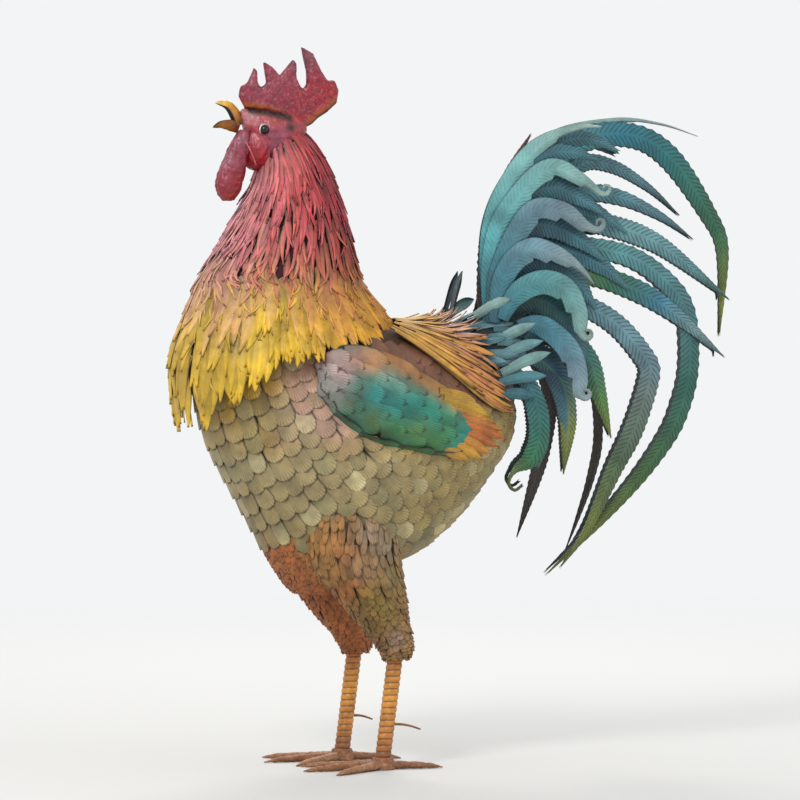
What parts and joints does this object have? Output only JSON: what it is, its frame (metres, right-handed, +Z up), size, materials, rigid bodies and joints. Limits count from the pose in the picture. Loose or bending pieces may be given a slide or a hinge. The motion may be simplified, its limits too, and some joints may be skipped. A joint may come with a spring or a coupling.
{
  "type": "iron rooster figure",
  "caption": "Standing garden rooster of painted sheet iron: layered hackle strips, scaled body, a wing on each side and an arching fan of sickle feathers",
  "frame": {"origin": "middle of the underside of the bounding box, at the height of the soles", "axes": "+Z up; the bird faces -X; its left side is -Y"},
  "size_m": [0.5262, 0.1834, 0.615],
  "materials": {
    "body_scales": "satin olive and beige paint over pressed sheet iron",
    "hackle_red": "satin red paint, worn pink on the edges",
    "hackle_gold": "satin yellow paint",
    "comb_red": "gloss red paint on hammered iron",
    "face_red": "satin pink-red paint on hammered iron",
    "beak_horn": "satin ochre paint",
    "eye_black": "gloss black paint",
    "wing_paint": "satin green, teal and orange paint",
    "saddle_peach": "satin peach and ochre paint",
    "thigh_rust": "matte rust-brown paint",
    "leg_ochre": "satin ochre-orange paint",
    "foot_rust": "matte brown rust",
    "tail_teal": "worn teal and green paint over pressed sheet iron",
    "tail_iron": "bare darkened iron"
  },
  "bodies": {
    "root": {"beak_lower": "beak_horn", "beak_upper": "beak_horn", "body": "body_scales", "comb": "comb_red", "covert_a_left": "tail_teal", "covert_a_right": "tail_teal", "covert_b_left": "tail_teal", "covert_b_right": "tail_teal", "covert_c_left": "tail_teal", "covert_c_right": "tail_teal", "covert_d_left": "tail_teal", "covert_d_right": "tail_teal", "covert_e_left": "tail_teal", "covert_e_right": "tail_teal", "covert_f_left": "tail_teal", "covert_f_right": "tail_teal", "curl_left": "tail_teal", "curl_right": "tail_teal", "eye_left": "eye_black", "eye_right": "eye_black", "foot_left": "foot_rust", "foot_right": "foot_rust", "hackle_gold": "hackle_gold", "hackle_red": "hackle_red", "head": "face_red", "iron_quill": "tail_iron", "iron_sickle": "tail_iron", "plume_top": "tail_teal", "saddle_left": "saddle_peach", "saddle_right": "saddle_peach", "shank_left": "leg_ochre", "shank_right": "leg_ochre", "sickle_crest_left": "tail_teal", "sickle_crest_right": "tail_teal", "sickle_fourth_left": "tail_teal", "sickle_fourth_right": "tail_teal", "sickle_great_left": "tail_teal", "sickle_great_right": "tail_teal", "sickle_inner_left": "tail_teal", "sickle_inner_right": "tail_teal", "sickle_lower_left": "tail_teal", "sickle_lower_right": "tail_teal", "sickle_lowest_left": "tail_teal", "sickle_lowest_right": "tail_teal", "sickle_second_left": "tail_teal", "sickle_second_right": "tail_teal", "sickle_third_left": "tail_teal", "sickle_third_right": "tail_teal", "sickle_upper_left": "tail_teal", "sickle_upper_right": "tail_teal", "spur_left": "foot_rust", "spur_right": "foot_rust", "thigh_left": "thigh_rust", "thigh_right": "thigh_rust", "wattle_left": "comb_red", "wattle_right": "comb_red", "wing_left": "wing_paint", "wing_right": "wing_paint"}
  },
  "joints": []
}
